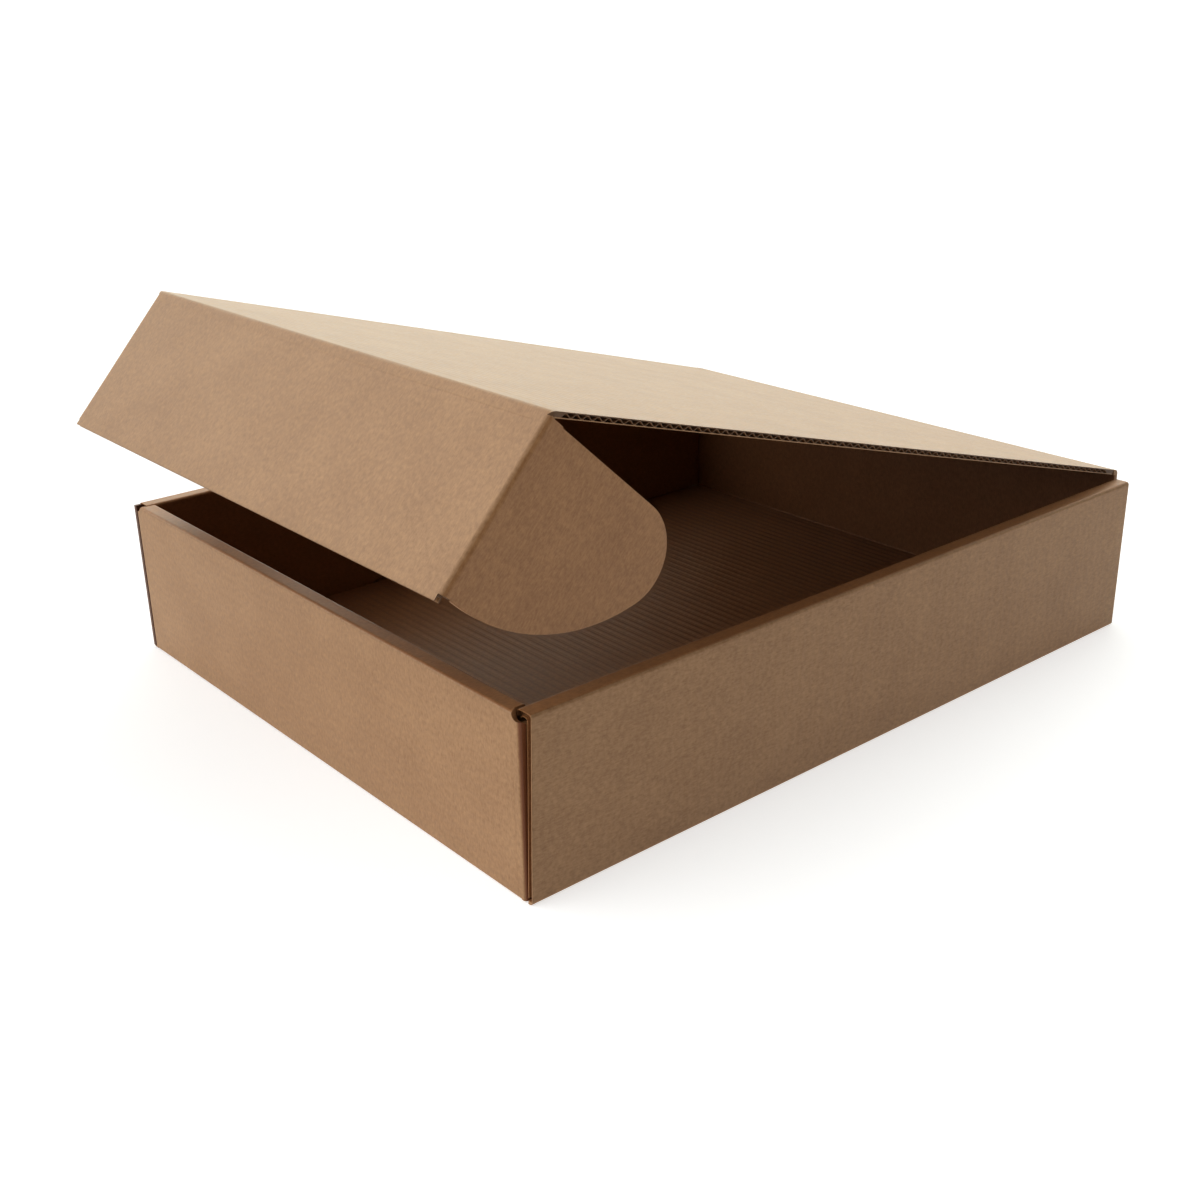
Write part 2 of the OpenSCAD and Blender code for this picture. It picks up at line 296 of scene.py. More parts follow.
@dataclass(frozen=True)
class KraftLiner:
    """Unbleached kraft linerboard, machine made and uncoated.

    A matt brown paper: cloudy where the pulp settled, streaked with fibres along the machine's run,
    with a few dark bark specks, and faint lines where the flutes show through, with a little
    painted shade in their valleys.
    """

    name: str
    deep: str
    pale: str
    tilt: float
    pitch: float = 3.3
    # slow clouds, fibre clumps and fibres; the fibres are drawn coarser than the real 0.03 mm
    cloud: float = 17.0
    clump: float = 1.3
    fibre_wide: float = 0.42
    fibre_long: float = 1.7
    # shares of fibres, clumps and clouds in the tone, and the sums that are deepest and palest
    tone_shares: Triple = (0.7, 0.9, 0.3)
    tone_range: Pair = (0.45, 1.45)
    # painted shade in the flute valleys, as the share of the deep tone at their bottom
    flute_shade: float = 0.02
    # shares of fibres, clumps and flutes in the relief, and its height
    relief_shares: Triple = (0.45, 0.6, 0.3)
    relief_high: float = 0.05
    # roughness at the two ends of a range of clumps
    clump_range: Pair = (0.3, 0.7)
    rough: Pair = (0.4, 0.53)
    # bark specks: distance, largest size, share of places without one, soft edge and strength
    speck_every: float = 24.0
    speck_size: float = 0.7
    speck_bare: float = 0.5
    speck_soft: float = 0.01
    speck_strength: float = 0.7
    speck: str = "4A3323"
    # direction out of the panel; a face that shares little of it is a die-cut edge
    face: Triple | None = None
    cut_range: Pair = (0.25, 0.6)
    # strength and colour of a die-cut edge: the medium's browner paper with painted shade of its
    # open flutes
    cut_shade_strength: float = 0.85
    cut: str = "5C412A"
    # height out of the panel up to which a cut edge is the pale inner liner's
    pale_up_to: float = -1000.0
    # X and Y of a bent corner, where the recessed bend is darkened reddish-brown with painted
    # shade, the distances short of that X where the painted shade begins and is full, and the
    # distance past it where it ends
    bend: Pair | None = None
    bend_short: Pair = (0.7, 0.1)
    bend_past: float = 0.3
    # strength and colour of that painted shade
    bend_shade_strength: float = 0.85
    bent: str = "7A4423"
    # whether it covers walls; one that shares more than this of Y faces front or back
    walls: bool = False
    upright: float = 0.7
    # middle and half sizes of the space between the tray's outer faces
    room: tuple[Triple, Triple] | None = None
    # a face that shares less than this is turned in, and the darker, browner tint of painted shade
    # laid inside the tray and on faces turned in
    turned_in: float = -0.5
    inner: str = "FAEADB"

    def material(self) -> Material:
        """Builds the paper's node tree.

        Returns:
            The material.
        """
        made = bpy.data.materials.new(self.name)
        made.use_nodes = True
        made.node_tree.nodes.clear()
        add = partial(add_node, made.node_tree)
        here = add("ShaderNodeTexCoord")
        flat = self.flat_coordinates(add, here)
        lengthwise = add(
            "ShaderNodeMapping",
            INVERSE,
            {0: flat, "Scale": (self.fibre_wide, self.fibre_long, self.fibre_wide)},
        )
        clouds = add(
            "ShaderNodeTexNoise", {}, {"Vector": flat, "Scale": 1 / self.cloud, "Detail": 2.0}
        )
        clumps = add(
            "ShaderNodeTexNoise",
            {},
            {"Vector": flat, "Scale": 1 / self.clump, "Detail": 4.0, "Roughness": 0.62},
        )
        fibres = add(
            "ShaderNodeTexNoise",
            {},
            {"Vector": lengthwise.outputs[0], "Scale": 1.0, "Detail": 2.0, "Roughness": 0.6},
        )
        # a wave texture turns 20 radians in one unit at a scale of 1
        flutes = add(
            "ShaderNodeTexWave",
            {"wave_type": "BANDS", "bands_direction": "Y", "wave_profile": "SIN"},
            {"Vector": flat, "Scale": math.tau / 20 / self.pitch, "Distortion": 0.0},
        )
        grain = self.summed(add, (fibres, clumps, clouds), self.tone_shares)
        light = add(
            "ShaderNodeMapRange", SMOOTH, {0: grain, 1: self.tone_range[0], 2: self.tone_range[1]}
        )
        tone = add(
            "ShaderNodeMix",
            COLOURS,
            {0: light.outputs[0], 6: linear(self.deep), 7: linear(self.pale)},
        )
        # painted shade in the flute valleys
        valley_shade = add("ShaderNodeMapRange", {}, {0: flutes.outputs[1], 3: self.flute_shade, 4: 0.0})
        tone = add(
            "ShaderNodeMix",
            COLOURS,
            {0: valley_shade.outputs[0], 6: tone.outputs[2], 7: linear(self.deep)},
        )
        tone = self.specked(add, flat, tone.outputs[2])
        # painted shade: darker and browner inside the tray and on faces turned in
        if self.room is not None or self.face is not None:
            tone = add(
                "ShaderNodeMix",
                {"data_type": "RGBA", "blend_type": "MULTIPLY"},
                {0: self.shaded_inside(add, here), 6: tone, 7: linear(self.inner)},
            ).outputs[2]
        # die-cut edges: browner paper with painted shade of the open flutes
        if self.face is not None:
            tone = self.cut_edges_and_flute_shade(add, here.outputs["Normal"], flat, tone)
        # painted shade in the recessed corner bends
        if self.bend is not None:
            tone = self.shaded_bend_corners(add, here.outputs["Object"], tone)
        relief = self.summed(add, (fibres, clumps, flutes), self.relief_shares)
        bump = add(
            "ShaderNodeBump",
            {},
            {"Strength": 0.35, "Distance": self.relief_high * MM, "Height": relief},
        )
        rough = add(
            "ShaderNodeMapRange",
            {},
            dict(enumerate((clumps.outputs[0], *self.clump_range, *self.rough))),
        )
        shader = add(
            "ShaderNodeBsdfPrincipled",
            {},
            {
                "Base Color": tone,
                "Roughness": rough.outputs[0],
                "IOR": 1.5,
                "Specular IOR Level": 0.42,
                "Normal": bump.outputs[0],
            },
        )
        add("ShaderNodeOutputMaterial", {}, {"Surface": shader.outputs[0]})
        return made

    @staticmethod
    def summed(add: Adder, textures: tuple[bpy.types.Node, ...], shares: Triple) -> Socket:
        """Adds up textures, each times its share.

        Args:
            add: Adds a node to the tree.
            textures: Noise or wave textures.
            shares: Share of each.

        Returns:
            The sum.
        """
        total = 0.0
        for texture, share in zip(textures, shares):
            value = texture.outputs["Fac"]
            total = add(
                "ShaderNodeMath", {"operation": "MULTIPLY_ADD"}, {0: value, 1: share, 2: total}
            ).outputs[0]
        return total

    def flat_coordinates(self, add: Adder, here: bpy.types.Node) -> Socket:
        """Millimetres on the panel as it lay in the sheet: Y across the flutes.

        Args:
            add: Adds a node to the tree.
            here: Texture coordinates.

        Returns:
            The coordinates. Where the finish covers walls, those that face front or back run up.
        """
        turn = math.radians(self.tilt)
        lying, rising = (
            {"Rotation": (angle, 0.0, 0.0), "Scale": (MM, MM, MM), 0: here.outputs["Object"]}
            for angle in (turn, turn + math.pi / 2)
        )
        lying = add("ShaderNodeMapping", INVERSE, lying)
        if not self.walls:
            return lying.outputs[0]
        rising = add("ShaderNodeMapping", INVERSE, rising)
        facing = add("ShaderNodeVectorMath", UNSIGNED, {0: here.outputs["Normal"]})
        front = add("ShaderNodeVectorMath", DOT, {0: facing.outputs[0], 1: (0.0, 1.0, 0.0)})
        standing = add("ShaderNodeMath", ABOVE, {0: front.outputs["Value"], 1: self.upright})
        chosen = add(
            "ShaderNodeMix",
            {"data_type": "VECTOR"},
            {0: standing.outputs[0], 4: lying.outputs[0], 5: rising.outputs[0]},
        )
        return chosen.outputs[1]

    def shaded_inside(self, add: Adder, here: bpy.types.Node) -> Socket:
        """Where painted shade darkens the paper: in the tray's room, or on a face turned in.

        Args:
            add: Adds a node to the tree.
            here: Texture coordinates.

        Returns:
            1 where the shade is painted and 0 elsewhere.
        """
        if self.room is not None:
            return within(add, here.outputs["Object"], *self.room)
        out = add("ShaderNodeVectorMath", DOT, {0: here.outputs["Normal"], 1: self.face})
        return add("ShaderNodeMath", BELOW, {0: out.outputs["Value"], 1: self.turned_in}).outputs[0]

    def specked(self, add: Adder, flat: Socket, tone: Socket) -> Socket:
        """Scatters dark bark specks over the paper, one in about half of the cells.

        Args:
            add: Adds a node to the tree.
            flat: Coordinates on the panel.
            tone: Colour of the paper.

        Returns:
            The colour with the specks.
        """
        cells = add("ShaderNodeTexVoronoi", {}, {"Vector": flat, "Scale": 1 / self.speck_every})
        parts = add("ShaderNodeSeparateColor", {}, {0: cells.outputs["Color"]})
        size = add(
            "ShaderNodeMapRange",
            {},
            {0: parts.outputs[0], 1: self.speck_bare, 2: 1.0, 3: 0.0, 4: self.speck_size},
        )
        reach = add("ShaderNodeMath", TIMES, {0: size.outputs[0], 1: 0.5 / self.speck_every})
        inside = add(
            "ShaderNodeMath",
            {"operation": "SUBTRACT"},
            {0: reach.outputs[0], 1: cells.outputs["Distance"]},
        )
        there = add(
            "ShaderNodeMapRange",
            {},
            {0: inside.outputs[0], 1: 0.0, 2: self.speck_soft, 3: 0.0, 4: self.speck_strength},
        )
        return add(
            "ShaderNodeMix", COLOURS, {0: there.outputs[0], 6: tone, 7: linear(self.speck)}
        ).outputs[2]

    def cut_edges_and_flute_shade(self, add: Adder, facing: Socket, flat: Socket, tone: Socket) -> Socket:
        """Darkens the die-cut edges, which face sideways off the panel, above the inner liner: the
        medium's browner paper with painted shade of the open flutes.

        Args:
            add: Adds a node to the tree.
            facing: Direction of the face in the object's own frame.
            flat: Coordinates on the panel.
            tone: Colour of the paper.

        Returns:
            The colour with the cut edges and their painted flute shade.
        """
        out = add("ShaderNodeVectorMath", DOT, {0: facing, 1: self.face})
        flatness = add("ShaderNodeMath", UNSIGNED, {0: out.outputs["Value"]})
        edge = add(
            "ShaderNodeMapRange",
            SMOOTH,
            dict(enumerate((flatness.outputs[0], *self.cut_range, self.cut_shade_strength, 0.0))),
        )
        high = add("ShaderNodeSeparateXYZ", {}, {0: flat})
        above = add("ShaderNodeMath", ABOVE, {0: high.outputs[2], 1: self.pale_up_to})
        browned_and_shaded = add("ShaderNodeMath", TIMES, {0: edge.outputs[0], 1: above.outputs[0]})
        return add(
            "ShaderNodeMix", COLOURS, {0: browned_and_shaded.outputs[0], 6: tone, 7: linear(self.cut)}
        ).outputs[2]

    def shaded_bend_corners(self, add: Adder, place: Socket, tone: Socket) -> Socket:
        """Paints shade, dark reddish-brown, into the recessed bend where the front panel turns
        round into its corner flaps.

        Args:
            add: Adds a node to the tree.
            place: Place in the object's own frame, in metres.
            tone: Colour of the paper.

        Returns:
            The colour with the browned bends.
        """
        aside, ahead = (value * MM for value in self.bend)
        begins, full = (aside - value * MM for value in self.bend_short)
        parts = add("ShaderNodeSeparateXYZ", {}, {0: place})
        far = add("ShaderNodeMath", UNSIGNED, {0: parts.outputs[0]})
        bend = add(
            "ShaderNodeMapRange", {}, {0: far.outputs[0], 1: begins, 2: full, 4: self.bend_shade_strength}
        )
        inside = add("ShaderNodeMath", BELOW, {0: far.outputs[0], 1: aside + self.bend_past * MM})
        front = add("ShaderNodeMath", BELOW, {0: parts.outputs[1], 1: ahead})
        corner = add("ShaderNodeMath", TIMES, {0: inside.outputs[0], 1: front.outputs[0]})
        there = add("ShaderNodeMath", TIMES, {0: corner.outputs[0], 1: bend.outputs[0]})
        return add(
            "ShaderNodeMix", COLOURS, {0: there.outputs[0], 6: tone, 7: linear(self.bent)}
        ).outputs[2]


@dataclass
class Washboard:
    """Liner of one panel, raised a little over the board, with the ridges that its flutes leave."""

    name: str
    body: Body
    frame: PanelFrame
    run: Pair
    along: Pair
    ridge: float
    first: float = 0.0
    lift: float = 0.02
    root: float = 0.1
    fade: float = 3.0
    swell: float = 0.03
    # length per radian across the flutes, and radians along them, of the two slow swells
    swell_runs: Pair = (19.0, 31.0)
    swell_turns: Pair = (4.0, -5.0)
    pitch: float = 3.3
    steps: int = 8
    columns: int = 28
    # slope of the first and the last border along the flutes
    lean: Pair = (0.0, 0.0)

    def spans(self, run: np.ndarray) -> tuple[np.ndarray, np.ndarray]:
        """Where the liner starts and ends along the flutes: the same all the way across them."""
        return np.full_like(run, self.along[0]), np.full_like(run, self.along[1])

    def marks(self, run: np.ndarray, along: np.ndarray) -> np.ndarray:
        """Height of marks pressed into the paper: none on a plain liner."""
        return np.zeros(np.broadcast(run, along).shape)

    def heights(self, run: np.ndarray, along: np.ndarray) -> np.ndarray:
        """Height of the paper over the board.

        A cosine of one flute pitch across the flutes, on two slow sine swells, all faded out at the
        sheet's borders.

        Args:
            run: Distances across the flutes.
            along: Distances along the flutes.

        Returns:
            Heights in millimetres.
        """
        start, end = self.spans(run)
        first, last = (edge + lean * along for edge, lean in zip(self.run, self.lean))
        ends = np.minimum(run - first, last - run)
        sides = np.minimum(along - start, end - along)
        inner = np.clip(np.minimum(ends, sides) / self.fade, 0, 1)
        calm = inner * inner * (3 - 2 * inner)
        share = (along - start) / (end - start)
        (one, two), (turn_one, turn_two) = self.swell_runs, self.swell_turns
        swells = np.sin(run / one + turn_one * share) + np.sin(run / two + turn_two * share + 1)
        wave = np.cos(math.tau * (run - self.first) / self.pitch)
        slow = self.swell * (1 + 0.5 * swells) + self.marks(run, along)
        return self.lift + calm * (self.ridge * wave + slow)

    def build(self, finish: Material) -> Piece:
        """Makes the liner, dresses it and lets it ride on its body.

        Args:
            finish: Paper of the panel.

        Returns:
            The piece.
        """
        count = round((self.run[1] - self.run[0]) / self.pitch * self.steps) + 1
        run = np.linspace(*self.run, count)[:, None]
        start, end = self.spans(run)
        along = start + (end - start) * np.linspace(0, 1, self.columns)[None, :]
        across = np.linspace(0, 1, count)[:, None]
        run = run + along * (self.lean[0] * (1 - across) + self.lean[1] * across)
        top = self.frame.grid(run, along, self.heights(run, along))
        bottom = self.frame.grid(run, along, np.full((count, self.columns), -self.root))
        piece = closed_sheet(self.name, top, bottom, finish)
        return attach(piece, self.body.value)


@dataclass
class EarLiner(Washboard):
    """Liner of an ear, which ends in a large round edge with a smaller round corner above it."""

    arc_r: float = 55.0
    arc_in: float = 6.0
    root_at: float = 47.0
    corner_r: float = 14.0
    corner_top: float = 0.5
    margin: float = 0.15
    # faint pressed line along a flute: its two ends, across and along the flutes
    line: tuple[float, float, float, float] = (16.8, 17.0, 19.1, 45.0)
    line_high: float = 0.0
    line_wide: float = 0.4

    def spans(self, run: np.ndarray) -> tuple[np.ndarray, np.ndarray]:
        """Where the liner starts and ends along the flutes.

        It starts on a straight line beside the crease. It ends on the corner's circle down to the
        point where that touches the large circle, and on the large circle below it.

        Args:
            run: Distances across the flutes from the lid's crease.

        Returns:
            Starts and ends.
        """
        arc_at = self.root_at - math.sqrt(self.arc_r**2 - self.arc_in**2)
        corner_at = self.corner_top + self.corner_r
        span = self.arc_r - self.corner_r
        corner_in = self.arc_in + math.sqrt(span**2 - (corner_at - arc_at) ** 2)
        touch = corner_at + self.corner_r * (corner_at - arc_at) / span
        large = (self.arc_r - self.margin) ** 2 - (run - arc_at) ** 2
        small = (self.corner_r - self.margin) ** 2 - (run - corner_at) ** 2
        end = np.where(
            run < touch,
            corner_in + np.sqrt(np.maximum(small, 0)),
            self.arc_in + np.sqrt(np.maximum(large, 0)),
        )
        return np.full_like(run, self.along[0]), end

    def marks(self, run: np.ndarray, along: np.ndarray) -> np.ndarray:
        """Height of the pressed line: a bell across it, faded in and out along it.

        Args:
            run: Distances across the flutes.
            along: Distances along the flutes.

        Returns:
            Heights in millimetres.
        """
        run_0, along_0, run_1, along_1 = self.line
        share = (along - along_0) / (along_1 - along_0)
        off = run - (run_0 + share * (run_1 - run_0))
        ends = np.clip(5 * np.minimum(share, 1 - share), 0, 1)
        return self.line_high * ends * np.exp(-((off / self.line_wide) ** 2))


@dataclass
class CreaseStrip:
    """Liner bent round a crease between two panels, from one outer face to the other."""

    name: str
    bodies: tuple[Body, Body]
    at: np.ndarray
    along: np.ndarray
    span: Pair
    out_a: np.ndarray
    into_a: np.ndarray
    out_b: np.ndarray
    into_b: np.ndarray
    reach: Pair = (3.4, 3.4)
    thick: float = 1.6
    lift: float = 0.06
    depth: float = 0.22
    rise: float = 0.05
    # lengths per radian of the two swells along the crease that make it uneven
    rise_runs: Pair = (7.3, 12.7)
    # length at each end where the strip draws in round the sheet's corner
    tip: float = 0.0
    bend_steps: int = 20
    flat_steps: int = 5
    columns: int = 90

    def section(self, radius: float) -> np.ndarray:
        """Outline across the crease at a distance from its axis.

        A straight run on the first panel, an arc about the crease's axis from the first panel's
        outward direction to the second's, and a straight run on the second panel.

        Args:
            radius: Distance of the faces and the arc from the axis.

        Returns:
            (n, 3) array of offsets from the axis.
        """
        fold = math.acos(float(np.clip(self.out_a @ self.out_b, -1, 1)))
        aside = self.out_b - (self.out_a @ self.out_b) * self.out_a
        aside = aside / np.linalg.norm(aside)
        flat = np.linspace(1, 0, self.flat_steps, endpoint=False)[:, None]
        turn = np.linspace(0, fold, self.bend_steps)[:, None]
        arc = radius * (np.cos(turn) * self.out_a + np.sin(turn) * aside)
        start = flat * self.reach[0] * self.into_a + radius * self.out_a
        end = flat[::-1] * self.reach[1] * self.into_b + radius * self.out_b
        return np.concatenate([start, arc, end])

    def build(self, finish: Material, far_finish: Material | None = None) -> Piece:
        """Makes the strip, bent round the crease, and dresses it.

        Args:
            finish: Paper of the strip.
            far_finish: Paper of its second half, where that differs.

        Returns:
            The piece.
        """
        far = np.linspace(*self.span, self.columns)
        if self.tip:
            ends = self.tip * np.linspace(0, 1, self.bend_steps)
            far = np.concatenate([self.span[0] + ends, far[1:-1], self.span[1] - ends[::-1]])
        past = np.maximum(self.tip - np.minimum(far - self.span[0], self.span[1] - far), 0)
        round_in = np.sqrt(1 - (past / (self.thick + self.lift)) ** 2)[None, :, None]
        one, two = self.rise_runs
        uneven = self.rise * 0.5 * (np.sin(far / one) + np.sin(far / two + 2))
        outline = self.section(self.thick + self.lift)
        inner = self.section(self.thick - self.depth)
        away = outline / np.linalg.norm(outline, axis=1, keepdims=True)
        bent = np.zeros(len(outline))
        bent[self.flat_steps : -self.flat_steps] = np.sin(np.linspace(0, math.pi, self.bend_steps))
        line = (far[:, None] * self.along)[None] + self.at
        bumps = (bent[:, None] * uneven[None])[..., None] * away[:, None]
        top = round_in * outline[:, None] + line + bumps
        bottom = round_in * inner[:, None] + line
        piece = closed_sheet(self.name, top, bottom, finish)
        if far_finish is not None:
            piece.data.materials.append(far_finish)
            second = np.repeat(np.arange(len(outline) - 1) >= len(outline) // 2, len(far) - 1)
            band = np.zeros(len(piece.data.polygons) - 2 * len(second), dtype=bool)
            halves = np.concatenate([second, second, band]).astype(np.int32)
            piece.data.polygons.foreach_set("material_index", halves)
        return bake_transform(piece)


@dataclass
class Finishes:
    """Papers of the box."""

    lid_tilt: float
    flap_tilt: float
    # height of the lid's underside out of it, and of the pale liner's edge above that
    lid_under: float
    liner: float = 0.3
    bend: Pair = (103.5, -126.2)
    room: tuple[Triple, Triple] = ((0.0, 0.0, 26.65), (105.2, 128.2, 25.85))
    deep: str = "8E6A48"
    pale: str = "B18D68"
    # the ears' paper is darker and warmer: painted shade with warm bounced light
    ear_shade_deep: str = "8C6340"
    ear_shade_pale: str = "AE855D"
    # a die-cut edge shows dark between the liners: the medium's browner paper, with painted shade
    # where the flutes stand open
    cut_shade_deep: str = "4E2F1D"
    cut_shade_pale: str = "6E472E"

    def build(self) -> Papers:
        """Makes the papers.

        Returns:
            The materials by paper.
        """
        ways = {
            Paper.TRAY: {"tilt": 0.0, "walls": True, "bend": self.bend, "room": self.room},
            Paper.LID: {
                "tilt": self.lid_tilt,
                "face": self.across(self.lid_tilt),
                "pale_up_to": self.lid_under + self.liner,
            },
            Paper.FLAP: {"tilt": self.flap_tilt, "face": self.across(self.flap_tilt)},
            Paper.EAR: {"tilt": self.flap_tilt, "deep": self.ear_shade_deep, "pale": self.ear_shade_pale},
            Paper.FOLD: {"tilt": self.flap_tilt},
            Paper.CUT: {"tilt": 0.0, "deep": self.cut_shade_deep, "pale": self.cut_shade_pale},
        }
        usual = {"deep": self.deep, "pale": self.pale}
        return {
            paper: KraftLiner(name=paper.value, **(usual | way)).material()
            for paper, way in ways.items()
        }

    @staticmethod
    def across(tilt: float) -> Triple:
        """Direction out of a panel that is tilted about X."""
        return (0.0, -math.sin(math.radians(tilt)), math.cos(math.radians(tilt)))


@dataclass
class Tray:
    """Tray: liners of the floor and of the walls' outer faces, and the left wall's cut end."""

    inside_w: float = 200.0
    front_in: float = -123.1
    back_in: float = 126.9
    front_y: float = -128.5
    back_y: float = 128.5
    side_x: float = 105.6
    tray_h: float = 51.6
    floor_z: float = 1.6
    fold_o: float = 1.0
    side_inset: float = 2.4
    side_cut: float = 0.4
    bend_x: float = 101.9
    relief_in: float = 1.2
    # distance of the left wall's square front end from the front face
    end_at: float = 0.25
    # rows and columns of that end, and the depth of its outer border in the wall
    end_grid: tuple[int, int] = (14, 4)
    end_skin: float = 0.1
    # distances that the liners keep from the edges of their panels
    floor_gap: float = 0.5
    floor_back_gap: float = 0.4
    back_gap: float = 0.3
    side_gap: float = 0.2
    left_gap: float = 0.05
    floor_ridge: float = 0.09
    wall_ridge: float = 0.02
    board: Board = Board()

    def left_end(self, slant: float, finish: Material) -> Piece:
        """Makes the left wall's front end, which stands forward of the solid's slanted one.

        A flat upright face from the wall's inner to its outer liner, closed into the slanted end.

        Args:
            slant: Slope of the solid's end.
            finish: Look of a cut edge, with painted shade of the open flutes.

        Returns:
            The piece.
        """
        rows, columns = self.end_grid
        wide = (self.board.thick - self.side_x, self.end_skin - self.side_x)
        x = np.linspace(*wide, columns)[None, :]
        z = np.linspace(self.fold_o / 2, self.tray_h - self.fold_o / 2, rows)[:, None]
        cut = np.full_like(z, self.front_y + self.end_at)
        solid = self.front_y + self.side_cut + slant * z + self.board.thick / 2
        faces = [np.stack(np.broadcast_arrays(x, y, z), -1) for y in (cut, solid)]
        piece = closed_sheet("side_wall_end_left", *faces, finish)
        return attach(piece, Body.TRAY.value)

    def build(self, papers: Papers) -> list[Piece]:
        """Makes the liners of the floor and the walls, and the left wall's cut end.

        Args:
            papers: Materials by paper.

        Returns:
            The pieces.
        """
        x, y, z = np.eye(3)
        half = self.inside_w / 2 - self.floor_gap
        up = (self.fold_o, self.tray_h - self.fold_o)
        span = (
            self.front_y + self.side_cut + self.side_gap,
            self.back_y - self.side_inset - self.side_gap,
        )
        left_span = (-span[1], -self.front_y - self.end_at - self.left_gap)
        slant = (self.side_inset - self.side_cut) / self.tray_h
        wide = (self.relief_in - self.bend_x, self.bend_x - self.relief_in)
        sheets = [
            Washboard(
                "floor_liner",
                Body.TRAY,
                PanelFrame(z * self.floor_z, -y, x, z),
                (-self.back_in + self.floor_back_gap, -self.front_in - self.floor_gap),
                (-half, half),
                self.floor_ridge,
                fade=2.0,
            ),
            Washboard(
                "front_wall_liner",
                Body.TRAY,
                PanelFrame(y * self.front_y, -z, x, -y),
                (-up[1], -up[0]),
                wide,
                self.wall_ridge,
            ),
            Washboard(
                "back_wall_liner",
                Body.TRAY,
                PanelFrame(y * self.back_y, z, x, y),
                up,
                (self.back_gap - half, half - self.back_gap),
                self.wall_ridge,
            ),
        ]
        runs = {Side.LEFT: (left_span, 0.0), Side.RIGHT: (span, slant)}
        for side, (run, lean) in runs.items():
            name = f"side_wall_liner_{side.name.lower()}"
            face = PanelFrame(x * side.value * self.side_x, y * side.value, z, x * side.value)
            sheets.append(
                Washboard(name, Body.TRAY, face, run, up, self.wall_ridge, lean=(lean, 0.0))
            )
        liners = [sheet.build(papers[Paper.TRAY]) for sheet in sheets]
        return [*liners, self.left_end(slant, papers[Paper.CUT])]


@dataclass
class Lid:
    """Lid: liners above and below, and the strip round its hinge on the back wall."""

    hinge: np.ndarray
    front: np.ndarray
    run: np.ndarray
    out: np.ndarray
    half: float = 99.6
    board: Board = Board()
    ridge: float = 0.03
    under_ridge: float = 0.05
    swell: float = 0.02
    front_gap: float = 0.4
    side_gap: float = 0.1

    def build(self, papers: Papers) -> list[Piece]:
        """Makes the liners and the hinge strip.

        Args:
            papers: Materials by paper.

        Returns:
            The pieces.
        """
        x, y, z = np.eye(3)
        length = float(np.linalg.norm(self.front - self.hinge))
        span = (self.board.crush, length - self.front_gap)
        width = (self.side_gap - self.half, self.half - self.side_gap)
        first = length - self.board.crush - self.board.pitch / 2
        above = PanelFrame(self.hinge + self.out * self.board.thick, self.run, x, self.out)
        below = PanelFrame(self.hinge, self.run, -x, -self.out)
        under = (2 * self.board.thick, length - 2 * self.board.thick)
        faces = {
            "outer": (above, span, self.ridge, first),
            "inner": (below, under, self.under_ridge, first + self.board.pitch / 2),
        }
        liners = [
            Washboard(
                f"lid_{name}_liner", Body.LID, face, run, width, ridge, crest, swell=self.swell
            ).build(papers[Paper.LID])
            for name, (face, run, ridge, crest) in faces.items()
        ]
        bodies = (Body.TRAY, Body.LID)
        strip = CreaseStrip(
            "lid_hinge_crease", bodies, self.hinge, x, width, y, -z, self.out, self.run
        )
        return [*liners, strip.build(papers[Paper.FOLD])]


@dataclass
class Flap:
    """Front flap: a liner on each face and the strip round its crease on the lid."""

    crease: np.ndarray
    lid_run: np.ndarray
    lid_out: np.ndarray
    run: np.ndarray
    out: np.ndarray
    half: float = 98.0
    height: float = 48.8
    notch: float = 1.9
    board: Board = Board()
    ridge: float = 0.01
    edge_gap: float = 0.1
    inner_gap: float = 2.5

    def build(self, papers: Papers) -> list[Piece]:
        """Makes the flap's liners and its crease.

        Args:
            papers: Materials by paper.

        Returns:
            The pieces.
        """
        x = np.eye(3)[0]
        first = self.height - self.board.pitch / 2
        front = PanelFrame(self.crease + self.out * self.board.thick, self.run, x, self.out)
        back = PanelFrame(self.crease, self.run, -x, -self.out)
        foot = self.height - self.edge_gap
        low, inset = 2 * self.notch, self.half - self.inner_gap
        faces = {
            "outer": (front, self.notch, self.half, self.ridge, first),
            "inner": (back, low, inset, 2 * self.ridge, first + self.board.pitch / 2),
        }
        liners = [
            Washboard(
                f"flap_{name}_liner", Body.FLAP, face, (start, foot), (-half, half), ridge, crest
            ).build(papers[Paper.FLAP])
            for name, (face, start, half, ridge, crest) in faces.items()
        ]
        side = self.half + self.board.thick - self.edge_gap
        strip = CreaseStrip(
            "flap_crease",
            (Body.LID, Body.FLAP),
            self.crease,
            x,
            (-side, side),
            self.lid_out,
            -self.lid_run,
            self.out,
            self.run,
            reach=(3.4, 2.3),
            tip=1.5,
        )
        return [*liners, strip.build(papers[Paper.FOLD])]


